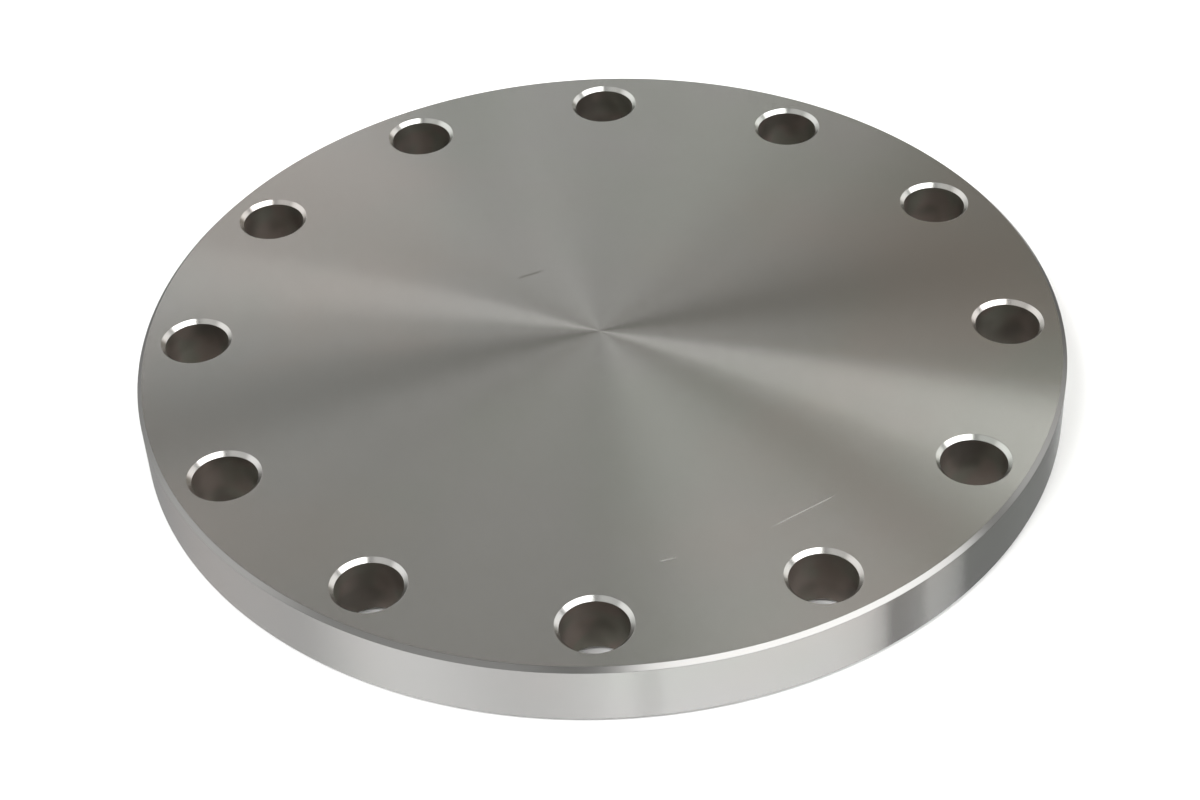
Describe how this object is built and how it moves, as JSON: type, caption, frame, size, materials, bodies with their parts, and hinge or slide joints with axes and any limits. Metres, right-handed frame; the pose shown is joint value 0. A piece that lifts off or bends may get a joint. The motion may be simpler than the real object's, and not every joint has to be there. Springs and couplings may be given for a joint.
{
  "type": "blind flange",
  "caption": "Flat-faced round metal blind flange: a solid turned disc with chamfered bolt holes on one bolt circle, which closes off a pipe end.",
  "frame": {"origin": "centre of the flange's back face, on its axis", "axes": "+Z along the flange's axis, out of the gasket face; +X through the centre of the first bolt hole"},
  "size_m": [0.335, 0.335, 0.024],
  "materials": {
    "machined_titanium": "satin"
  },
  "bodies": {
    "root": {"flange_disc": "machined_titanium"}
  },
  "joints": []
}
